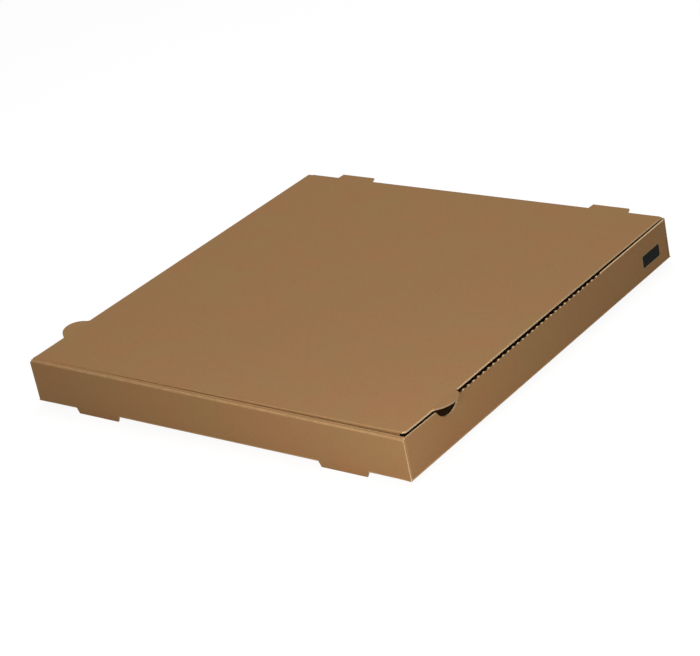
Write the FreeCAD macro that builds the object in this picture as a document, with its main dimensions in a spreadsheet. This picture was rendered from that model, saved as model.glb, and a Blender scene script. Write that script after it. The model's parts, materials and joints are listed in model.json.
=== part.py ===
import FreeCAD, Part
import os
import re

# Pizza box folded from fine corrugated board, closed, with its lid hinged at the back

# Millimetres. X runs left to right, Y front to back, Z up. The origin lies midway
# between the sides, midway between the front wall and the tips of the rear tabs,
# at the height of the tips of the front tabs, which hang below the base.

DRIVING_SIZES = (
    ("width", 330.0),            # outside of the tray, left to right
    ("depth", 330.0),            # outside of the tray, front to back
    ("board", 1.2),              # thickness of the corrugated board
    ("crease", 0.3),             # radius inside a fold
    ("lid_rise", 32.4),          # top of the lid above the underside of the base
    ("wall_rise", 30.2),         # top of the side walls above the same face
    ("roll_rise", 30.4),         # top of the rolled front wall above the same face
    ("ply_gap", 0.1),            # slack between boards that lie against each other
    ("end_gap", 0.3),            # rolled front wall short of the side walls
    ("flap_length", 60.0),       # corner flaps, along the front and back walls
    ("flap_gap", 1.0),           # corner flaps clear of the base and the roll
    ("lid_gap", 0.6),            # lid's front fold behind the rolled wall
    ("lid_side_gap", 1.8),       # lid's cut side edges inside the side walls
    ("tuck", 25.0),              # front tuck flap of the lid, top to bottom
    ("tuck_lean", 1.5),          # tuck flap leans in by this at its lower edge
    ("tuck_taper", 9.0),         # tuck flap is shorter by this at each lower end
    ("tuck_end", 4.0),           # tuck flap short of the lid's side edges
    ("lid_corner", 2.0),         # cut across the lid's front corners
    ("ear_radius", 14.3),        # round ears at the lid's side edges
    ("ear_inset", 3.4),          # their middle inside those edges
    ("ear_lift", 7.9),           # degrees that the ears are bent upwards
    ("ear_place", 49.8),         # middle of the ears behind the front wall
    ("notch_radius", 14.3),      # thumb notches in the side walls below the ears
    ("notch_drop", 8.0),         # depth of those notches
    ("tooth_pitch", 5.93),       # scalloped top edge of the side walls
    ("tooth_radius", 4.6),
    ("tooth_drop", 0.8),
    ("tooth_start", 63.0),       # first scallop behind the front wall
    ("tooth_count", 30),
    ("front_tab", 4.0),          # front tabs, hanging below the base
    ("front_tab_root", 41.0),
    ("front_tab_tip", 37.5),
    ("front_tab_in", 35.0),      # front tabs in from the sides
    ("lock_gap", 1.0),           # lock tabs of the rolled wall narrower at each end
    ("rear_tab", 6.0),           # rear tabs, level with the lid, behind the back wall
    ("rear_tab_root", 33.5),
    ("rear_tab_tip", 31.0),
    ("rear_tab_in", 30.75),      # rear tabs in from the sides
    ("hinge_gap", 0.3),          # slit of the mitre between the lid and the back wall
    ("swing_gap", 0.5),          # clearance around what turns with the lid
)

os.makedirs("parts", exist_ok=True)
doc = FreeCAD.newDocument("pizza_box")
sheet = doc.addObject("Spreadsheet::Sheet", "sizes")
for row, (alias, value) in enumerate(DRIVING_SIZES, start=1):
    sheet.set(f"A{row}", alias)
    sheet.set(f"B{row}", str(value))
    sheet.setAlias(f"B{row}", alias)
doc.recompute()

# Planes and radii that several panels share, worked out from the sheet
BEND = "(crease + board)"
SIDE = "(width / 2)"
FRONT = "(-(depth + rear_tab) / 2)"
BACK = "((depth - rear_tab) / 2)"
BASE = "front_tab"
FLOOR = "(front_tab + board)"
WALL_TOP = "(front_tab + wall_rise)"
ROLL_TOP = "(front_tab + roll_rise)"
LID_TOP = "(front_tab + lid_rise)"
LID_UNDER = f"({LID_TOP} - board)"

FLAP_FRONT = f"({FRONT} + board + ply_gap)"
ROLL_INNER = f"({FLAP_FRONT} + board + ply_gap)"
ROLL_BACK = f"({ROLL_INNER} + board)"
ROLL_SIDE = f"({SIDE} - board - end_gap)"
FLAP_REAR = f"({BACK} - board - ply_gap)"
LID_SIDE = f"({SIDE} - board - lid_side_gap)"
LID_FRONT = f"({ROLL_BACK} + lid_gap)"
EAR_MIDDLE = f"({FRONT} + ear_place)"
FRONT_TAB_MIDDLE = f"({SIDE} - front_tab_in - front_tab_root / 2)"
REAR_TAB_MIDDLE = f"({SIDE} - rear_tab_in - rear_tab_root / 2)"
VENT_BOTTOM = f"({LID_TOP} - rear_tab - {BEND} - swing_gap)"

X_AXIS = FreeCAD.Vector(1, 0, 0)
Y_AXIS = FreeCAD.Vector(0, 1, 0)
Z_AXIS = FreeCAD.Vector(0, 0, 1)
UPRIGHT = FreeCAD.Rotation()
ALONG_X = FreeCAD.Rotation(Y_AXIS, 90)
ALONG_Y = FreeCAD.Rotation(X_AXIS, -90)
HANG_IN_FRONT = FreeCAD.Rotation(X_AXIS, -Z_AXIS, Y_AXIS, "XYZ")
MITRE = FreeCAD.Rotation(X_AXIS, 45)
DIAGONAL = FreeCAD.Rotation(Z_AXIS, 45)


def formula(text):
    """Spell out the aliases in a formula as cells of the sheet."""
    aliases = {alias for alias, value in DRIVING_SIZES}
    return re.sub(
        "[a-z_]+",
        lambda word: f"sizes.{word.group()}" if word.group() in aliases else word.group(),
        text,
    )


def bound(kind, name, place, turn=UPRIGHT, **measures):
    """A primitive whose measures and place are formulas of the sheet."""
    item = doc.addObject(kind, name)
    item.Placement = FreeCAD.Placement(FreeCAD.Vector(), turn)
    for axis, text in zip("xyz", place):
        item.setExpression(f"Placement.Base.{axis}", formula(text))
    for measure, text in measures.items():
        item.setExpression(measure, formula(text))
    return item


def panel(name, x_range, y_range, z_range):
    """A flat board between two planes each way."""
    lows, spans = zip(*((low, f"{high} - {low}") for low, high in (x_range, y_range, z_range)))
    return bound("Part::Box", name, lows, Length=spans[0], Width=spans[1], Height=spans[2])


def taper(name, place, turn, root, tip, reach, thickness="board", lean="0"):
    """A flap or tab that narrows from its root to its tip, and may lean as it goes."""
    (root_low, root_high), (tip_low, tip_high) = root, tip
    return bound(
        "Part::Wedge", name, place, turn,
        Xmin=root_low, Xmax=root_high, X2min=tip_low, X2max=tip_high,
        Ymin="0", Ymax=reach,
        Zmin="0", Zmax=thickness, Z2min=lean, Z2max=f"{lean} + {thickness}",
    )


def disc(name, middle, turn, radius, height):
    """A round, from its lower face upwards along its own axis."""
    return bound("Part::Cylinder", name, middle, turn, Radius=radius, Height=height)


def joined(name, pieces):
    """Boards that are one sheet."""
    item = doc.addObject("Part::MultiFuse", name)
    item.Shapes = pieces
    return item


def trimmed(name, piece, tools):
    """A piece with cuts made in it."""
    item = doc.addObject("Part::Cut", name)
    item.Base = piece
    item.Tool = joined(f"{name}_cuts", tools)
    return item


def mirrored(name, piece):
    """The like piece on the other side."""
    item = doc.addObject("Part::Mirroring", name)
    item.Source = piece
    item.Normal = X_AXIS
    return item


def both_sides(pieces):
    """Each piece of the right side, and its mirror image on the left."""
    return pieces + [mirrored(f"{piece.Name}_left", piece) for piece in pieces]


def rounding(name, turn, corner, span, middle, length):
    """What a fold's outer radius leaves off: a square rod less the round inside it."""
    square = [f"({edge} - {BEND})" if step < 0 else edge for edge, step in zip(corner, span)]
    rod_sizes = [length if step == 0 else BEND for step in span]
    rod = bound(
        "Part::Box", f"{name}_rod", square,
        Length=rod_sizes[0], Width=rod_sizes[1], Height=rod_sizes[2],
    )
    item = doc.addObject("Part::Cut", name)
    item.Base = rod
    item.Tool = disc(f"{name}_round", middle, turn, BEND, length)
    return item


def fold_along_x(name, low, high, edge_y, edge_z, inward_y, inward_z):
    """Round a fold that runs along X; inward says on which side its board lies."""
    corner = (low, edge_y, edge_z)
    middle = (low, f"{edge_y} + {inward_y} * {BEND}", f"{edge_z} + {inward_z} * {BEND}")
    return rounding(name, ALONG_X, corner, (0, inward_y, inward_z), middle, f"({high} - {low})")


def fold_along_y(name, low, high, edge_x, edge_z, inward_x, inward_z):
    """Round a fold that runs along Y."""
    corner = (edge_x, low, edge_z)
    middle = (f"{edge_x} + {inward_x} * {BEND}", low, f"{edge_z} + {inward_z} * {BEND}")
    return rounding(name, ALONG_Y, corner, (inward_x, 0, inward_z), middle, f"({high} - {low})")


def fold_along_z(name, low, high, edge_x, edge_y, inward_x, inward_y):
    """Round a fold that runs along Z."""
    corner = (edge_x, edge_y, low)
    middle = (f"{edge_x} + {inward_x} * {BEND}", f"{edge_y} + {inward_y} * {BEND}", low)
    return rounding(name, UPRIGHT, corner, (inward_x, inward_y, 0), middle, f"({high} - {low})")


def hinge_mitre(name, toward_lid):
    """What one side of the hinge's mitre leaves to the other, and half of the slit."""
    reach = "(1.5 * board)"
    depth = "(3 * board)"
    shift = "(-hinge_gap / 2)" if toward_lid else f"(hinge_gap / 2 - {depth})"
    place = (
        f"-{SIDE} - board",
        f"{BACK} - ({reach} + {shift}) / sqrt(2)",
        f"{LID_TOP} - ({reach} - {shift}) / sqrt(2)",
    )
    return bound(
        "Part::Box", name, place, MITRE,
        Length="width + 2 * board", Width=f"{reach} + 2 * board", Height=depth,
    )


# Tray: base, back wall and the outer ply of the front wall, all as wide as the box
full_width = (f"-{SIDE}", SIDE)
base = panel("base", full_width, (FRONT, BACK), (BASE, FLOOR))
front_ply = panel("front_ply", full_width, (FRONT, f"({FRONT} + board)"), (BASE, ROLL_TOP))
back_wall = panel("back_wall", full_width, (f"({BACK} - board)", BACK), (BASE, LID_TOP))

# Front wall rolled over the corner flaps: a narrow top, then an inner ply down to the base
roll_width = (f"-{ROLL_SIDE}", ROLL_SIDE)
roll_top = panel("roll_top", roll_width, (FRONT, ROLL_BACK), (f"({ROLL_TOP} - board)", ROLL_TOP))
inner_ply = panel("inner_ply", roll_width, (ROLL_INNER, ROLL_BACK), (FLOOR, ROLL_TOP))

# Side wall on the right, with its two corner flaps folded in behind front and back
side_wall = panel(
    "side_wall", (f"({SIDE} - board)", SIDE), (FLAP_FRONT, FLAP_REAR), (BASE, WALL_TOP)
)
front_flap = panel(
    "front_flap",
    (f"({SIDE} - flap_length)", SIDE),
    (FLAP_FRONT, f"({FLAP_FRONT} + board)"),
    (f"({FLOOR} + flap_gap)", f"({ROLL_TOP} - board - flap_gap)"),
)
rear_flap = panel(
    "rear_flap",
    (f"({SIDE} - flap_length)", SIDE),
    (f"({FLAP_REAR} - board)", FLAP_REAR),
    (f"({FLOOR} + flap_gap)", f"({VENT_BOTTOM} - swing_gap)"),
)
side_parts = both_sides([side_wall, front_flap, rear_flap])

# Folds of the tray, rounded outside
tray_folds = [
    fold_along_x("fold_front", f"-{SIDE}", SIDE, FRONT, BASE, 1, 1),
    fold_along_x("fold_back", f"-{SIDE}", SIDE, BACK, BASE, -1, 1),
    fold_along_x("fold_roll_outer", f"-{SIDE}", SIDE, FRONT, ROLL_TOP, 1, -1),
    fold_along_x("fold_roll_inner", f"-{SIDE}", SIDE, ROLL_BACK, ROLL_TOP, -1, -1),
    fold_along_x("fold_hinge_tray", f"-{SIDE}", SIDE, BACK, LID_TOP, -1, -1),
    hinge_mitre("mitre_tray", toward_lid=True),
]
side_folds = [
    fold_along_y("fold_side", FRONT, BACK, SIDE, BASE, -1, 1),
    fold_along_z("fold_front_corner", FLOOR, WALL_TOP, SIDE, FLAP_FRONT, -1, 1),
    fold_along_z("fold_rear_corner", FLOOR, WALL_TOP, SIDE, FLAP_REAR, -1, -1),
]

# Thumb notch under each ear, and the scallops behind it along the side wall's top edge
across_wall = f"({SIDE} - 2 * board)"
notch = disc(
    "notch", (across_wall, EAR_MIDDLE, f"{WALL_TOP} - notch_drop + notch_radius"),
    ALONG_X, "notch_radius", "3 * board",
)
scallops = [
    disc(
        f"scallop_{number}",
        (
            across_wall,
            f"{FRONT} + tooth_start + {number + 0.5} * tooth_pitch",
            f"{WALL_TOP} - tooth_drop + tooth_radius",
        ),
        ALONG_X, "tooth_radius", "3 * board",
    )
    for number in range(int(sheet.tooth_count))
]

# Slot in the base behind each front tab, and the vent that each rear tab leaves open
tab_slot = panel(
    "tab_slot",
    (f"({FRONT_TAB_MIDDLE} - front_tab_root / 2)", f"({FRONT_TAB_MIDDLE} + front_tab_root / 2)"),
    (f"({FRONT} - board)", f"({FRONT} + board + front_tab)"),
    (f"({BASE} - board)", FLOOR),
)
vent = panel(
    "vent",
    (
        f"({REAR_TAB_MIDDLE} - rear_tab_root / 2 - swing_gap)",
        f"({REAR_TAB_MIDDLE} + rear_tab_root / 2 + swing_gap)",
    ),
    (f"({BACK} - 2 * board)", f"({BACK} + board)"),
    (VENT_BOTTOM, f"({LID_TOP} + board)"),
)

# Front tabs in the plane of the outer ply, and the lock tabs of the inner ply in the slots
front_tab = taper(
    "front_tab", (FRONT_TAB_MIDDLE, FRONT, BASE), HANG_IN_FRONT,
    ("-front_tab_root / 2", "front_tab_root / 2"),
    ("-front_tab_tip / 2", "front_tab_tip / 2"),
    "front_tab",
)
front_tab_neck = panel(
    "front_tab_neck",
    (f"({FRONT_TAB_MIDDLE} - front_tab_root / 2)", f"({FRONT_TAB_MIDDLE} + front_tab_root / 2)"),
    (FRONT, f"({FRONT} + board)"),
    (BASE, f"({BASE} + {BEND})"),
)
lock_tab = panel(
    "lock_tab",
    (
        f"({FRONT_TAB_MIDDLE} - front_tab_root / 2 + lock_gap)",
        f"({FRONT_TAB_MIDDLE} + front_tab_root / 2 - lock_gap)",
    ),
    (ROLL_INNER, ROLL_BACK),
    (BASE, f"({FLOOR} + board)"),
)

tray_boards = joined(
    "tray_boards", [base, front_ply, back_wall, roll_top, inner_ply] + side_parts
)
tray_sheet = trimmed(
    "tray_sheet", tray_boards,
    tray_folds + both_sides(side_folds + [notch] + scallops + [tab_slot, vent]),
)
tray = joined("tray", [tray_sheet] + both_sides([front_tab, front_tab_neck, lock_tab]))

# Lid: the top panel, then its front tuck flap
lid_panel = panel(
    "lid_panel", (f"-{LID_SIDE}", LID_SIDE), (LID_FRONT, BACK), (LID_UNDER, LID_TOP)
)
tuck_flap = taper(
    "tuck_flap", ("0", LID_FRONT, LID_TOP), HANG_IN_FRONT,
    (f"-{LID_SIDE} + tuck_end", f"{LID_SIDE} - tuck_end"),
    (f"-{LID_SIDE} + tuck_end + tuck_taper", f"{LID_SIDE} - tuck_end - tuck_taper"),
    "tuck", lean="tuck_lean",
)

# Folds of the lid, rounded outside, and its front corners, cut across
lid_folds = [
    fold_along_x("fold_lid_front", f"-{LID_SIDE}", LID_SIDE, LID_FRONT, LID_TOP, 1, -1),
    fold_along_x("fold_hinge_lid", f"-{LID_SIDE}", LID_SIDE, BACK, LID_TOP, -1, -1),
    hinge_mitre("mitre_lid", toward_lid=False),
]
corner_cut = bound(
    "Part::Box", "corner_cut",
    (LID_SIDE, f"{LID_FRONT} - lid_corner", f"{LID_UNDER} - board"), DIAGONAL,
    Length="lid_corner * sqrt(2)", Width="lid_corner * sqrt(2)", Height="3 * board",
)

# Ear: the part of a round that lies outside the lid's edge, bent up about that edge
ear_round = disc("ear_round", ("-ear_inset", "0", "0"), UPRIGHT, "ear_radius", "board")
ear_field = panel(
    "ear_field", ("-board / 4", "ear_radius"), ("-ear_radius", "ear_radius"), ("0", "board")
)
ear = doc.addObject("Part::Common", "ear")
ear.Base = ear_field
ear.Tool = ear_round
ear.Placement = FreeCAD.Placement(FreeCAD.Vector(), FreeCAD.Rotation(-Y_AXIS, 1))
ear.setExpression("Placement.Rotation.Angle", formula("ear_lift"))
ear.setExpression("Placement.Base.x", formula(LID_SIDE))
ear.setExpression("Placement.Base.y", formula(EAR_MIDDLE))
ear.setExpression("Placement.Base.z", formula(LID_UNDER))

# Rear tab, left in the plane of the lid where the fold is cut through
rear_tab = taper(
    "rear_tab", (REAR_TAB_MIDDLE, BACK, LID_UNDER), UPRIGHT,
    ("-rear_tab_root / 2", "rear_tab_root / 2"),
    ("-rear_tab_tip / 2", "rear_tab_tip / 2"),
    "rear_tab",
)
rear_tab_neck = panel(
    "rear_tab_neck",
    (f"({REAR_TAB_MIDDLE} - rear_tab_root / 2)", f"({REAR_TAB_MIDDLE} + rear_tab_root / 2)"),
    (f"({BACK} - 2 * {BEND})", BACK),
    (LID_UNDER, LID_TOP),
)

lid_boards = joined("lid_boards", [lid_panel, tuck_flap])
lid_sheet = trimmed("lid_sheet", lid_boards, lid_folds + both_sides([corner_cut]))
lid = joined("lid", [lid_sheet] + both_sides([ear, rear_tab, rear_tab_neck]))

SUB_PARTS = {"tray": tray, "lid": lid}
for node, item in SUB_PARTS.items():
    item.Label = node
    item.Refine = True
doc.recompute()

for item in doc.Objects:
    if "Invalid" in item.State or "Error" in item.State:
        raise RuntimeError(f"{item.Name} failed to build: {item.State}")
for node, item in SUB_PARTS.items():
    shape = item.Shape
    if shape.isNull() or not shape.isValid() or len(shape.Solids) != 1:
        raise RuntimeError(f"{node} is not one valid solid")
    print(node, "solids", len(shape.Solids), "volume", round(shape.Volume, 1), shape.BoundBox)

for node, item in SUB_PARTS.items():
    item.Shape.exportStep(f"parts/{node}.step")
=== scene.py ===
import json
import math

import bmesh
import bpy
from mathutils import Matrix, Vector
from mathutils.bvhtree import BVHTree


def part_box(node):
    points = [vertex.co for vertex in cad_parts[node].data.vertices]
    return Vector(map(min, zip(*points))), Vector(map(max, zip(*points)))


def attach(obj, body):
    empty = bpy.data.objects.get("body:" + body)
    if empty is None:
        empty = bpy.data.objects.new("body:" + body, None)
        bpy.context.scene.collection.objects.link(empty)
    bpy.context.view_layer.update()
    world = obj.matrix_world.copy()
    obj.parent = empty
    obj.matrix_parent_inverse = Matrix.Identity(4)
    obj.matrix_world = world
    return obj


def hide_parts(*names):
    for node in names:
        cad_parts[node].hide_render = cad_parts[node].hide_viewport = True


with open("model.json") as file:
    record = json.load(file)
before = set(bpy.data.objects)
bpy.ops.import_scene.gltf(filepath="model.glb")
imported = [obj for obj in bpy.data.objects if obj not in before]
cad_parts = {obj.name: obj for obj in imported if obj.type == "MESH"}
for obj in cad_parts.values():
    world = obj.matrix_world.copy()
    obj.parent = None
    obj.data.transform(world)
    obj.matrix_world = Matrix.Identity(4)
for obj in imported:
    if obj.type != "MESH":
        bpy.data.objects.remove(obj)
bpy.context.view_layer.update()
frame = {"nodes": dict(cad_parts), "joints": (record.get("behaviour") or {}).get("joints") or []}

# The tray: base, side walls, back wall, corner flaps and the rolled front wall, folded from one
# sheet of corrugated board, 1.2 mm thick: two kraft liners glued to a fluted middle sheet. The
# outline is die-cut and the folds are creased in; lock tabs hold the roll, so nothing is glued.
MM = 0.001
BOARD = 1.2 * MM
CREASE_RADIUS = 1.5 * MM
CREASE_SQUARENESS = 0.8
OUTER, EDGE, INNER = 0, 1, 2
MERGE_WITHIN = 0.002 * MM
# Two facets of one fold turn by less than this, and a liner and a cut edge by more.
FACET_TURN = math.radians(40)
# A face whose normal keeps to one axis by this much is a flat panel, not part of a fold.
SQUARE_ON = 0.985
hinge = Vector(frame["joints"][0]["pos_m"])


def board_mesh(node_name, outer_side):
    """A copy of a CAD node with its outer liner, cut edges and inner liner told apart.

    The map "sheet" is in millimetres. On a liner it runs along the flutes (u) and across them (v).
    On a cut edge u goes through the board, from 0 to 1, and v stays across the flutes. The
    attribute for creases is 1 on the crown of a fold, and can also mark a painted highlight.
    The attribute for dark edges starts at 0, and is raised for painted shade and for crushing.
    """
    bm = bmesh.new()
    bm.from_mesh(frame["nodes"][node_name].data)
    bmesh.ops.remove_doubles(bm, verts=bm.verts, dist=MERGE_WITHIN)
    bm.normal_update()

    # A cut edge has the whole panel behind it, a liner only the board's thickness.
    tree = BVHTree.FromBMesh(bm)
    for face in bm.faces:
        face.smooth = True
        inside = face.calc_center_median() - face.normal * 0.01 * MM
        depth = tree.ray_cast(inside, -face.normal)[3]
        face.material_index = INNER if depth is not None and depth < 1.8 * BOARD else EDGE

    # The outer liner goes round every fold, up to the cut edges.
    reached = [max(
        (face for face in bm.faces if face.normal.dot(outer_side) > SQUARE_ON),
        key=lambda face: face.calc_area(),
    )]
    while reached:
        face = reached.pop()
        face.material_index = OUTER
        for edge in face.edges:
            if edge.calc_face_angle(math.pi) < FACET_TURN:
                reached += [other for other in edge.link_faces if other.material_index == INNER]

    # The flutes run from side to side, and so they stand upright in the side walls.
    sheet = bm.loops.layers.uv.new("sheet")
    crease = bm.verts.layers.float.new("crease")
    bm.verts.layers.float.new("crushed_and_shaded")
    for face in bm.faces:
        if face.material_index != EDGE:
            facing = max(range(3), key=lambda axis: abs(face.normal[axis]))
            along, across = ((2, 1), (0, 2), (0, 1))[facing]
            for loop in face.loops:
                loop[sheet].uv = (loop.vert.co[along] / MM, loop.vert.co[across] / MM)
            continue
        beside = [
            (edge.calc_length(), other.normal)
            for edge in face.edges
            for other in edge.link_faces
            if other.material_index != EDGE
        ]
        panel = max(beside, key=lambda item: item[0])[1] if beside else Vector((0, 0, 1))
        across = 2 if abs(panel.y) > 0.7 else 1
        lowest = min(vert.co.dot(panel) for vert in face.verts)
        for loop in face.loops:
            level = (loop.vert.co.dot(panel) - lowest) / BOARD
            loop[sheet].uv = (level, loop.vert.co[across] / MM)
    for vert in bm.verts:
        liners = [face for face in vert.link_faces if face.material_index != EDGE]
        bent = [face for face in liners if max(abs(part) for part in face.normal) < SQUARE_ON]
        vert[crease] = 1.0 if bent and len(bent) == len(liners) else 0.0
    for edge in bm.edges:
        kinds = {face.material_index for face in edge.link_faces}
        edge.smooth = len(kinds) == 1 and edge.calc_face_angle(0) < FACET_TURN

    # A crease in board is squarer than a round bend, so its crown moves out towards the corner. The
    # two halves of the hinge stay round, to clear each other when the lid is folded back.
    for vert in bm.verts:
        outer = [face.normal for face in vert.link_faces if face.material_index == OUTER]
        at_hinge = vert.co.y > hinge.y - 1.7 * MM and vert.co.z > hinge.z - 6 * MM
        if vert[crease] and outer and not at_hinge:
            outward = sum(outer, Vector()).normalized()
            to_corner = CREASE_RADIUS * (1 / max(abs(part) for part in outward) - 1)
            vert.co += outward * to_corner * CREASE_SQUARENESS
    return bm


def bend_line(bm, place, across):
    """Cuts a board's faces along a plane, so that the board can bend there."""
    bmesh.ops.bisect_plane(
        bm, geom=bm.verts[:] + bm.edges[:] + bm.faces[:], dist=0.001 * MM,
        plane_co=place, plane_no=across)


def share(value, start, end):
    """How far a value has come on the way from start to end, from 0 to 1."""
    return min(max((value - start) / (end - start), 0), 1)


def board_object(name, bm, materials):
    """Makes the object of a finished board mesh, its panels shaded flat and its folds round."""
    mesh = bpy.data.meshes.new(name)
    bm.to_mesh(mesh)
    bm.free()
    for material in materials:
        mesh.materials.append(material)
    piece = bpy.data.objects.new(name, mesh)
    bpy.context.scene.collection.objects.link(piece)
    shading = piece.modifiers.new("flat_panels", "WEIGHTED_NORMAL")
    shading.weight = 100
    shading.keep_sharp = True
    return piece


def linear(hex_colour):
    """An sRGB hex colour as linear RGBA."""
    parts = [int(hex_colour[start:start + 2], 16) / 255 for start in (1, 3, 5)]
    return [p / 12.92 if p <= 0.04045 else ((p + 0.055) / 1.055) ** 2.4 for p in parts] + [1.0]


def bare_material(name):
    """A new material without any nodes."""
    material = bpy.data.materials.new(name)
    material.use_nodes = True
    material.node_tree.nodes.clear()
    return material


def add(material, kind, inputs=None, **settings):
    """Adds a node. Settings are its properties; inputs give a socket, by name or place, a value
    or another node's output."""
    made = material.node_tree.nodes.new(kind)
    for name, value in settings.items():
        setattr(made, name, value)
    for socket, value in (inputs or {}).items():
        if isinstance(value, bpy.types.NodeSocket):
            material.node_tree.links.new(value, made.inputs[socket])
        else:
            made.inputs[socket].default_value = value
    return made


# Places of the colour sockets on a Mix node.
MIX_A, MIX_B, MIXED = 6, 7, 2

# Sizes in the paper, in millimetres. Fine board has a flute every 3.3 mm. Its fibres are 0.03 mm
# wide and 3 mm long, and are drawn wider and longer, so that they show.
FLUTE_PITCH = 3.3
FIBRE_WIDTH, FIBRE_LENGTH = 0.3, 5.0
CLOUD_SIZE = 30
SHIVE_SPACING = (6.0, 9.0)
PALE_PATCH = 6


def kraft_paper(name, brown, warm, worn_and_highlight, shive):
    """Liner paper: matt unbleached kraft, slightly cloudy, with long fibres across the flutes, a
    few darker shives, creases rubbed paler, and a painted highlight on marked edges."""
    paper = bare_material(name)
    sheet = add(paper, "ShaderNodeUVMap", uv_map="sheet").outputs["UV"]
    place = add(paper, "ShaderNodeTexCoord").outputs["Object"]

    # The cloudiness of the paper's formation shifts the brown.
    clouds = add(paper, "ShaderNodeTexNoise", {
        "Vector": place, "Scale": 1 / (CLOUD_SIZE * MM), "Detail": 3.0})
    cloud = add(paper, "ShaderNodeMapRange", {
        "Value": clouds.outputs["Fac"], "From Min": 0.35, "From Max": 0.65})
    tone = add(paper, "ShaderNodeMix", {
        "Factor": cloud.outputs["Result"], MIX_A: linear(brown), MIX_B: linear(warm)},
        data_type="RGBA").outputs[MIXED]

    # The fibres lie in two directions, a little to each side of the way the paper ran.
    fibres = []
    for turn in (-18, 24):
        laid = add(paper, "ShaderNodeMapping", {
            "Vector": sheet, "Rotation": (0, 0, math.radians(turn)),
            "Scale": (1 / FIBRE_WIDTH, 1 / FIBRE_LENGTH, 1)})
        fibres.append(add(paper, "ShaderNodeTexNoise", {
            "Vector": laid.outputs["Vector"], "Scale": 1.0, "Detail": 2.0}).outputs["Fac"])
    felt = add(paper, "ShaderNodeMath", {0: fibres[0], 1: fibres[1]}, operation="ADD").outputs[0]
    shade = add(paper, "ShaderNodeMapRange", {
        "Value": felt, "From Min": 0.7, "From Max": 1.3, "To Min": 0.93, "To Max": 1.07})
    tone = add(paper, "ShaderNodeMix", {
        "Factor": 1.0, MIX_A: tone, MIX_B: shade.outputs["Result"]},
        data_type="RGBA", blend_type="MULTIPLY").outputs[MIXED]

    # Shives are dark bundles of fibres, up to 1.5 mm long, one or two to a square centimetre.
    strewn = add(paper, "ShaderNodeMapping", {
        "Vector": sheet, "Scale": (1 / SHIVE_SPACING[0], 1 / SHIVE_SPACING[1], 1)})
    cells = add(paper, "ShaderNodeTexVoronoi", {"Vector": strewn.outputs["Vector"], "Scale": 1.0})
    speck = add(paper, "ShaderNodeMapRange", {
        "Value": cells.outputs["Distance"], "From Min": 0.03, "From Max": 0.08,
        "To Min": 0.5, "To Max": 0.0})
    tone = add(paper, "ShaderNodeMix", {
        "Factor": speck.outputs["Result"], MIX_A: tone, MIX_B: linear(shive)},
        data_type="RGBA").outputs[MIXED]

    # Creases are rubbed paler, unevenly along the fold, and marked edges get a painted highlight.
    crease = add(paper, "ShaderNodeAttribute", attribute_name="crease").outputs["Fac"]
    pale_patches = add(paper, "ShaderNodeTexNoise", {
        "Vector": place, "Scale": 1 / (PALE_PATCH * MM), "Detail": 2.0})
    patchy = add(paper, "ShaderNodeMapRange", {
        "Value": pale_patches.outputs["Fac"], "From Min": 0.3, "From Max": 0.7, "To Min": 0.45})
    wear_and_highlight = add(paper, "ShaderNodeMath", {0: crease, 1: patchy.outputs["Result"]},
               operation="MULTIPLY")
    tone = add(paper, "ShaderNodeMix", {
        "Factor": wear_and_highlight.outputs[0], MIX_A: tone, MIX_B: linear(worn_and_highlight)},
        data_type="RGBA").outputs[MIXED]

    # The flutes press through the liner as a faint washboard, one ridge to each flute.
    across = add(paper, "ShaderNodeSeparateXYZ", {0: sheet}).outputs["Y"]
    phase = add(paper, "ShaderNodeMath", {0: across, 1: 2 * math.pi / FLUTE_PITCH},
                operation="MULTIPLY")
    ridges = add(paper, "ShaderNodeMath", {0: phase.outputs[0]}, operation="SINE").outputs[0]
    height = add(paper, "ShaderNodeMath", {0: ridges, 1: 0.6, 2: felt}, operation="MULTIPLY_ADD")
    relief = add(paper, "ShaderNodeBump", {
        "Height": height.outputs[0], "Strength": 0.25, "Distance": 0.04 * MM})

    shader = add(paper, "ShaderNodeBsdfPrincipled", {
        "Base Color": tone, "Roughness": 0.85, "IOR": 1.5, "Specular IOR Level": 0.15,
        "Normal": relief.outputs["Normal"]})
    add(paper, "ShaderNodeOutputMaterial", {"Surface": shader.outputs["BSDF"]})
    return paper


# Outside, the board has a kraft liner of new pulp. The test liner inside has recycled pulp in it,
# which makes it a little duller, with darker shives.
printed_kraft = kraft_paper("kraft_liner_printed", "#a58055", "#a97d54", "#c69d6e", "#7a5836")
inner_liner = kraft_paper("test_liner", "#9d7a52", "#a17853", "#b08a60", "#6b4c30")

# A small plain patch of dark ink is printed near the back of the right wall. Its corners are round,
# and the binder of the ink has spread 0.8 mm into the paper around it.
INK_CENTRE = Vector((0, 137.5, 16.5)) * MM
INK_HALF = Vector((0, 11.5, 4.6)) * MM
INK_CORNER = 1.0 * MM
INK_SPREAD = 0.8 * MM
INK_BLUR = 0.15 * MM
RIGHT_WALL_FROM = 160 * MM
place = add(printed_kraft, "ShaderNodeTexCoord").outputs["Object"]
on_wall = add(printed_kraft, "ShaderNodeVectorMath", {0: place, 1: (0, 1, 1)},
              operation="MULTIPLY")
offset = add(printed_kraft, "ShaderNodeVectorMath", {0: on_wall.outputs[0], 1: INK_CENTRE},
             operation="SUBTRACT")
mirrored = add(printed_kraft, "ShaderNodeVectorMath", {0: offset.outputs[0]},
               operation="ABSOLUTE")
beyond = add(printed_kraft, "ShaderNodeVectorMath", {
    0: mirrored.outputs[0], 1: INK_HALF - Vector((0, INK_CORNER, INK_CORNER))},
    operation="SUBTRACT")
clipped = add(printed_kraft, "ShaderNodeVectorMath", {0: beyond.outputs[0], 1: (0, 0, 0)},
              operation="MAXIMUM")
reach = add(printed_kraft, "ShaderNodeVectorMath", {0: clipped.outputs[0]}, operation="LENGTH")
sideways = add(printed_kraft, "ShaderNodeSeparateXYZ", {0: place}).outputs["X"]
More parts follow.
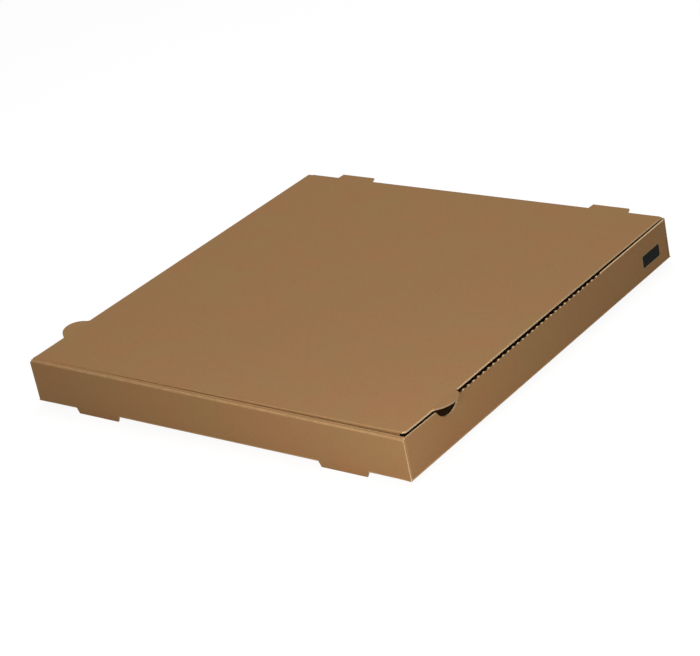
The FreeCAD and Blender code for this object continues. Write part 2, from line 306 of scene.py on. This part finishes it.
right_side = add(printed_kraft, "ShaderNodeMath", {0: sideways, 1: RIGHT_WALL_FROM},
                 operation="GREATER_THAN").outputs[0]
shader = printed_kraft.node_tree.nodes["Principled BSDF"]
tone = shader.inputs["Base Color"].links[0].from_socket
for spread, colour, cover in ((INK_SPREAD, "#a39065", 0.6), (0.0, "#0e1210", 1.0)):
    covered = add(printed_kraft, "ShaderNodeMapRange", {
        "Value": reach.outputs["Value"], "From Min": INK_CORNER + spread - INK_BLUR,
        "From Max": INK_CORNER + spread + INK_BLUR, "To Min": cover, "To Max": 0.0})
    printed = add(printed_kraft, "ShaderNodeMath", {
        0: covered.outputs["Result"], 1: right_side}, operation="MULTIPLY")
    tone = add(printed_kraft, "ShaderNodeMix", {
        "Factor": printed.outputs[0], MIX_A: tone, MIX_B: linear(colour)},
        data_type="RGBA").outputs[MIXED]
printed_kraft.node_tree.links.new(tone, shader.inputs["Base Color"])

# Cut edge of the board: torn, fuzzy paper, paler than the liners. Where the cut crosses the flutes
# it shows the wavy middle sheet between the two liners, half crushed shut by the cutting rule.
# Through the board the places run from 0 to 1, and the middle sheet sways 0.27 to each side.
FLUTE_SWAY = 0.27
FUZZ_SIZE = 0.8
cut_edge = bare_material("die_cut_board_edge")
sheet = add(cut_edge, "ShaderNodeUVMap", uv_map="sheet").outputs["UV"]
parts = add(cut_edge, "ShaderNodeSeparateXYZ", {0: sheet})
phase = add(cut_edge, "ShaderNodeMath", {0: parts.outputs["Y"], 1: 2 * math.pi / FLUTE_PITCH},
            operation="MULTIPLY")
sway = add(cut_edge, "ShaderNodeMath", {0: phase.outputs[0]}, operation="SINE")
middle = add(cut_edge, "ShaderNodeMath", {0: sway.outputs[0], 1: FLUTE_SWAY, 2: 0.5},
             operation="MULTIPLY_ADD")
from_middle = add(cut_edge, "ShaderNodeMath", {0: parts.outputs["X"], 1: middle.outputs[0]},
                  operation="SUBTRACT")
from_middle = add(cut_edge, "ShaderNodeMath", {0: from_middle.outputs[0]}, operation="ABSOLUTE")
medium = add(cut_edge, "ShaderNodeMapRange", {
    "Value": from_middle.outputs[0], "From Min": 0.09, "From Max": 0.17,
    "To Min": 1.0, "To Max": 0.0})
from_centre = add(cut_edge, "ShaderNodeMath", {0: parts.outputs["X"], 1: 0.5}, operation="SUBTRACT")
from_centre = add(cut_edge, "ShaderNodeMath", {0: from_centre.outputs[0]}, operation="ABSOLUTE")
liners = add(cut_edge, "ShaderNodeMapRange", {
    "Value": from_centre.outputs[0], "From Min": 0.28, "From Max": 0.36})
solid = add(cut_edge, "ShaderNodeMath", {
    0: medium.outputs["Result"], 1: liners.outputs["Result"]}, operation="MAXIMUM")
place = add(cut_edge, "ShaderNodeTexCoord").outputs["Object"]
fuzz = add(cut_edge, "ShaderNodeTexNoise", {
    "Vector": place, "Scale": 1 / (FUZZ_SIZE * MM), "Detail": 3.0})
# Paper shows in full; the hollows between get painted shade, only partly, as they are half crushed
# shut.
paper_against_hollow_shade = add(cut_edge, "ShaderNodeMapRange", {
    "Value": solid.outputs[0], "To Min": 0.45, "To Max": 1.0})
frayed = add(cut_edge, "ShaderNodeMath", {0: fuzz.outputs["Fac"], 1: 0.35, 2: -0.17},
             operation="MULTIPLY_ADD")
pulp = add(cut_edge, "ShaderNodeMath", {0: paper_against_hollow_shade.outputs["Result"], 1: frayed.outputs[0]},
           operation="ADD", use_clamp=True)
# The darker brown is the painted shade of the flute hollows.
paper_and_hollow_shade = add(cut_edge, "ShaderNodeMix", {
    "Factor": pulp.outputs[0], MIX_A: linear("#9a7850"), MIX_B: linear("#fadcb0")},
    data_type="RGBA")
# Marked edges are darkened: painted shade on the side walls' top edges, crushing on the ears' rims.
crushed_and_shaded_mask = add(cut_edge, "ShaderNodeAttribute", attribute_name="crushed_and_shaded")
crushed_and_shaded_edge = add(cut_edge, "ShaderNodeMix", {
    "Factor": crushed_and_shaded_mask.outputs["Fac"], MIX_A: paper_and_hollow_shade.outputs[MIXED], MIX_B: linear("#8d6b48")},
    data_type="RGBA")
relief = add(cut_edge, "ShaderNodeBump", {
    "Height": pulp.outputs[0], "Strength": 0.5, "Distance": 0.15 * MM})
shader = add(cut_edge, "ShaderNodeBsdfPrincipled", {
    "Base Color": crushed_and_shaded_edge.outputs[MIXED], "Roughness": 0.95, "IOR": 1.5,
    "Normal": relief.outputs["Normal"]})
add(cut_edge, "ShaderNodeOutputMaterial", {"Surface": shader.outputs["BSDF"]})

# Folded by hand, the tray isn't quite true. The sizes are in millimetres, and what is moved is
# picked by how far in it lies from the tray's sides, front and back.
tray_low, tray_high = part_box("tray")
SIDE, FRONT, BACK = tray_high.x / MM, tray_low.y / MM, tray_high.y / MM
WALL_FOOT, WALL_TOP = 5.2, 34.2
SIDE_WALL_FROM = 160
# Just over the thickness of one board, the rolled wall, and the base.
ONE_BOARD, ROLLED_WALL, BASE_TOP = 1.3, 4.1, 5.6

# How dark the side walls' top edges are painted as shade, and where the scallops run.
RIM_SHADE, NOTCH_SHADE, POINT_UNSHADED = 0.6, 0.3, 0.9
NOTCH_BELOW = 33
SCALLOPS_FROM, SCALLOPS_TO = -104.5, 73.2
SCALLOP_LOW, SCALLOP_HIGH = 33.6, 34.1

# How far the folding went wrong.
FRONT_TABS_FROM, FRONT_TABS_TO, FRONT_TABS_TO_RIGHT = 85, 135, 1.8
BOTTOM_FOLD_SAG = 0.35
CORNER_RUBBED, CORNER_DENTED = 1.0, 0.4
ROLL_FROM, ROLL_EDGE, ROLL_TOP = 32.8, -164.2, 34.4
ROLL_RAISED, ROLL_SLOPE = 0.95, -0.0068
RIGHT_WALL_SLOPE, RIGHT_WALL_SUNK, LEFT_WALL_RAISED = 0.0045, 0.15, 0.3
BULGE_OUT, BULGE_DOWN, BULGE_NONE_AT, BULGE_FULL_AT = 0.35, 0.25, 165, 105

bm = board_mesh("tray", Vector((0, 0, -1)))
crease = bm.verts.layers.float["crease"]
crushed_and_shaded = bm.verts.layers.float["crushed_and_shaded"]
for bend in (-SIDE_WALL_FROM, SIDE_WALL_FROM):
    bend_line(bm, (bend * MM, 0, 0), (1, 0, 0))

# The raw ends of the back wall show at the corners, rubbed to the brown of the liner.
for face in bm.faces:
    at = face.calc_center_median() / MM
    if face.material_index == EDGE and abs(at.x) > SIDE - 0.5 and at.y > BACK - 2 and at.z > 5.5:
        face.material_index = OUTER

for vert in bm.verts:
    x, y, z = vert.co / MM
    from_side, from_front, from_back = SIDE - abs(x), y - FRONT, BACK - y
    height = share(z, WALL_FOOT, WALL_TOP)
    on_tab = FRONT_TABS_FROM < abs(x) < FRONT_TABS_TO and from_front < ONE_BOARD

    # Side walls' top edges get painted shade: less in the notches, most in the scallops' hollows.
    if from_side < ONE_BOARD and from_front > 2 and from_back > 3 and z > 25:
        vert[crushed_and_shaded] = NOTCH_SHADE if z < NOTCH_BELOW else RIM_SHADE
        if SCALLOPS_FROM < y < SCALLOPS_TO:
            vert[crushed_and_shaded] = 1 - POINT_UNSHADED * share(z, SCALLOP_LOW, SCALLOP_HIGH)

    # The upright creases at the front corners aren't rubbed, and the upper corners are worn round.
    if from_side < 1.6 and 1.05 < from_front < 3.1:
        vert[crease] = 0
    if from_side < 0.1 and z > 33 and (from_front < 2 or from_back < 1.5):
        z -= CORNER_RUBBED
        x -= math.copysign(CORNER_DENTED, x)

    # The front tabs sit to the right, and the fold between them hangs a little lower.
    if on_tab and z < BASE_TOP:
        x += FRONT_TABS_TO_RIGHT
    if from_front < 2.1 and z < BASE_TOP and not on_tab:
        z -= BOTTOM_FOLD_SAG

    # The inner fold of the roll closes towards the left.
    if 2 < from_front < ROLLED_WALL and z > ROLL_FROM:
        to_left = share(x, SIDE, -SIDE)
        y += (ROLL_EDGE - y) * to_left
        z += (ROLL_TOP - z) * to_left

    # The front wall stands 2 mm higher at the left, and the right wall dips towards the front.
    if from_front < ROLLED_WALL:
        z += height * (ROLL_RAISED + ROLL_SLOPE * x)
    elif x > SIDE_WALL_FROM:
        z += height * (RIGHT_WALL_SLOPE * y - RIGHT_WALL_SUNK)
    elif x < -SIDE_WALL_FROM:
        z += height * LEFT_WALL_RAISED

    # The foot of the right wall bulges outwards and down.
    if x > SIDE - 2:
        bulge = (1 - height) * share(y, BULGE_NONE_AT, BULGE_FULL_AT)
        x += BULGE_OUT * bulge
        z -= BULGE_DOWN * bulge
    vert.co = Vector((x, y, z)) * MM

# The lid's crease is a thin bead of liner on the hinge's axis. It covers the slit between the back
# wall and the lid at every angle, and stops where the rear tabs are cut out of the fold.
BEAD_RADIUS = 0.17 * MM
BEAD_RUBBED = 0.5
BEAD_END = 161
REAR_TABS = (100.5, 134.5)
sheet_map = bm.loops.layers.uv["sheet"]
for left, right in (
        (-BEAD_END, -REAR_TABS[1]), (-REAR_TABS[0], REAR_TABS[0]), (REAR_TABS[1], BEAD_END)):
    centre = Matrix.Translation((((left + right) / 2) * MM, hinge.y, hinge.z))
    bead = bmesh.ops.create_cone(
        bm, cap_ends=True, segments=8, radius1=BEAD_RADIUS, radius2=BEAD_RADIUS,
        depth=(right - left) * MM, matrix=centre @ Matrix.Rotation(math.pi / 2, 4, "Y"))
    for vert in bead["verts"]:
        vert[crease] = BEAD_RUBBED
        for loop in vert.link_loops:
            loop[sheet_map].uv = (vert.co.z / MM, vert.co.x / MM)
            loop.face.smooth = True
tray_board = board_object("tray_board", bm, (printed_kraft, cut_edge, inner_liner))
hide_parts("tray")
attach(tray_board, "tray")

# The lid: one flat panel creased from the same sheet along the top of the back wall, with a tuck
# flap turned down at the front, a half-round ear bent up at each side and two tabs at the back.
# Its liner is the tray's kraft without the print, and its creases are less rubbed.
LID_SIDE, LID_FRONT, LID_BACK, LID_TOP = 162, -163.6, 162, 36.4
EAR_CENTRE, EAR_HALF = -118.2, 14
# The ears' rims are crushed dark, and a painted highlight runs on a strip along the side edges.
EAR_CRUSHED, SIDE_EDGE_HIGHLIGHT, HIGHLIGHT_STRIP = 0.75, 0.8, 161.2
BEND_LINES = range(-140, 141, 20)

# How far the cutting and folding went wrong, in millimetres, but for the ears' shares of their
# width and length.
RIGHT_EAR_SHARE, LEFT_EAR_SHARE, EAR_LENGTH_SHARE = 0.86, 0.84, 0.92
EAR_FORWARD = 0.2
REAR_TIPS_FROM, REAR_TIPS_TO_LEFT = 167.5, 1.0
CORNER_CUT = 0.7
FRONT_FLAP_TO, FRONT_IN_AT_RIGHT, FRONT_OUT_AT_LEFT = -160, 0.85, 0.45
PANEL_BOWED, CORNER_PRESSED = 1.6, 0.9
RIGHT_EDGE_OUT, LEFT_EDGE_OUT, WIDENED_FROM, WIDENED_TO = 0.8, 2.6, 140, 160

# Its rubbed-crease colour also paints the highlight along the straight side edges.
lid_kraft = kraft_paper("kraft_liner", "#a58055", "#a97d54", "#ba9062", "#7a5836")
bm = board_mesh("lid", Vector((0, 0, 1)))
crease = bm.verts.layers.float["crease"]
crushed_and_shaded = bm.verts.layers.float["crushed_and_shaded"]
# The outermost bend lines bound the strip of painted highlight along the side edges.
for bend in (-HIGHLIGHT_STRIP, *BEND_LINES, HIGHLIGHT_STRIP):
    bend_line(bm, (bend * MM, 0, 0), (1, 0, 0))
for bend in BEND_LINES:
    bend_line(bm, (0, bend * MM, 0), (0, 1, 0))

for vert in bm.verts:
    x, y, z = vert.co / MM
    to_right = (x + LID_SIDE) / (2 * LID_SIDE)
    to_front = (LID_BACK - y) / (LID_BACK - LID_FRONT)
    on_ear = abs(x) > LID_SIDE + 0.001

    # The straight side edges get a painted highlight along the top, and the ears' rims are crushed
    # dark.
    on_side_edge = abs(x) > LID_SIDE - 0.1 and abs(y - EAR_CENTRE) > EAR_HALF
    if on_side_edge and z > LID_TOP - 0.1:
        vert[crease] = SIDE_EDGE_HIGHLIGHT
    if on_ear:
        vert[crushed_and_shaded] = EAR_CRUSHED

    # The tips of the rear tabs sit a little to the left.
    if y > REAR_TIPS_FROM:
        x -= REAR_TIPS_TO_LEFT

    # The front right corner is nipped off, and the front fold sharper towards the left. It is tight
    # against the rolled wall there, and about 1 mm behind it at the right.
    if x > LID_SIDE - 2.1 and y < LID_FRONT + 2.2 and z > LID_TOP - 2.4:
        x -= CORNER_CUT
        y += CORNER_CUT
    if y < LID_FRONT + 2.1 and z > LID_TOP - 1.9:
        y += (LID_FRONT - y) * (1 - to_right)
        z += (LID_TOP - z) * (1 - to_right)
    if y < FRONT_FLAP_TO:
        y += FRONT_IN_AT_RIGHT * to_right - FRONT_OUT_AT_LEFT * (1 - to_right)

    # The right side bows up a little along its middle, and its front corner is pressed down.
    bow = PANEL_BOWED * to_front * (1 - to_front)
    z += to_right * (bow - CORNER_PRESSED * to_front ** 3)

    # The side edges reach almost to the side walls, at the left over them, and the ears beyond.
    if on_ear:
        width_share = RIGHT_EAR_SHARE if x > 0 else LEFT_EAR_SHARE
        x = math.copysign(LID_SIDE + width_share * (abs(x) - LID_SIDE), x)
        y = EAR_CENTRE - EAR_FORWARD + EAR_LENGTH_SHARE * (y - EAR_CENTRE)
    x += (RIGHT_EDGE_OUT * share(x, WIDENED_FROM, WIDENED_TO)
          - LEFT_EDGE_OUT * share(-x, WIDENED_FROM, WIDENED_TO))
    vert.co = Vector((x, y, z)) * MM
lid_board = board_object("lid_board", bm, (lid_kraft, cut_edge, inner_liner))
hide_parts("lid")
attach(lid_board, "lid")

# The floor: plain white paper that shows the box's soft shadow. Seen by the camera it is brightened
# to white, and everything else receives its true, unbrightened bounce.
FLOOR_HALF = 4.0
BRIGHTENED, GLOW = 0.72, 1.26


def seen_directly(owner):
    """1 for what the camera sees, itself or in a mirror or glass, and 0 for light on the object."""
    ray = add(owner, "ShaderNodeLightPath").outputs
    seen = add(owner, "ShaderNodeMath", {0: ray["Is Camera Ray"], 1: ray["Is Glossy Ray"]},
               operation="MAXIMUM")
    return add(owner, "ShaderNodeMath", {0: seen.outputs[0], 1: ray["Is Transmission Ray"]},
               operation="MAXIMUM").outputs[0]


bm = bmesh.new()
bmesh.ops.create_grid(bm, x_segments=1, y_segments=1, size=FLOOR_HALF)
floor_mesh = bpy.data.meshes.new("floor")
bm.to_mesh(floor_mesh)
bm.free()
floor = bpy.data.objects.new("floor", floor_mesh)
bpy.context.scene.collection.objects.link(floor)
white_paper = bare_material("white_paper_floor")
brightened = add(white_paper, "ShaderNodeMath", {0: seen_directly(white_paper), 1: BRIGHTENED},
                 operation="MULTIPLY")
matt = add(white_paper, "ShaderNodeBsdfDiffuse", {"Color": linear("#c9c9c9"), "Roughness": 0.0})
glow = add(white_paper, "ShaderNodeEmission", {"Color": (1, 1, 1, 1), "Strength": GLOW})
both = add(white_paper, "ShaderNodeMixShader", {
    0: brightened.outputs[0], 1: matt.outputs[0], 2: glow.outputs[0]})
add(white_paper, "ShaderNodeOutputMaterial", {"Surface": both.outputs[0]})
floor_mesh.materials.append(white_paper)

# Soft studio light: an even pale room, a large softbox overhead, and a small one low down near the
# front right corner, so the walls are brightest there and fall off towards the other corners.
ROOM_LIGHT = 0.21
world = bpy.data.worlds.new("pale_room")
bpy.context.scene.world = world
world.use_nodes = True
world.node_tree.nodes.clear()
level = add(world, "ShaderNodeMapRange", {
    "Value": seen_directly(world), "To Min": ROOM_LIGHT, "To Max": 1.0})
sky = add(world, "ShaderNodeBackground", {
    "Color": (1, 1, 1, 1), "Strength": level.outputs["Result"]})
add(world, "ShaderNodeOutputWorld", {"Surface": sky.outputs[0]})

# Each softbox: name, place and aim in metres, width in metres, power in watts, colour.
for name, stand, aim, size, power, colour in (
        ("overhead_softbox", (-0.10, 0.25, 1.30), (0.0, 0.05, 0.0), 0.9, 7.7, (1, 1, 1)),
        ("corner_softbox", (0.46, -0.56, 0.26), (0.16, -0.16, 0.02), 0.30, 2.4,
         (1.0, 0.965, 0.91))):
    lamp = bpy.data.lights.new(name, "AREA")
    lamp.shape = "DISK"
    lamp.size = size
    lamp.energy = power
    lamp.color = colour
    lamp_object = bpy.data.objects.new(name, lamp)
    lamp_object.location = stand
    lamp_object.rotation_euler = (Vector(aim) - Vector(stand)).to_track_quat("-Z", "Y").to_euler()
    bpy.context.scene.collection.objects.link(lamp_object)

# The camera stands off the front right corner, tipped to its right as in the photograph. Its lens
# is in millimetres on a 36 mm sensor, and its shift half a pixel of the photograph's width.
CAMERA_PLACE = Vector((951.9, -1075.5, 693.3)) * MM
TURN, TILT, ROLL = 41.79, 90 - 25.65, -11.39
HALF_PIXEL = 0.5 / 700
camera_data = bpy.data.cameras.new("camera")
camera_data.sensor_fit = "HORIZONTAL"
camera_data.sensor_width = 36.0
camera_data.lens = 113.36
camera_data.shift_x = -HALF_PIXEL
camera_data.shift_y = HALF_PIXEL
camera = bpy.data.objects.new("camera", camera_data)
turned = Matrix.Rotation(math.radians(TURN), 4, "Z")
tilted = Matrix.Rotation(math.radians(TILT), 4, "X")
rolled = Matrix.Rotation(math.radians(ROLL), 4, "Z")
camera.matrix_world = Matrix.Translation(CAMERA_PLACE) @ turned @ tilted @ rolled
bpy.context.scene.collection.objects.link(camera)
bpy.context.scene.camera = camera
bpy.context.scene.view_settings.view_transform = "Standard"
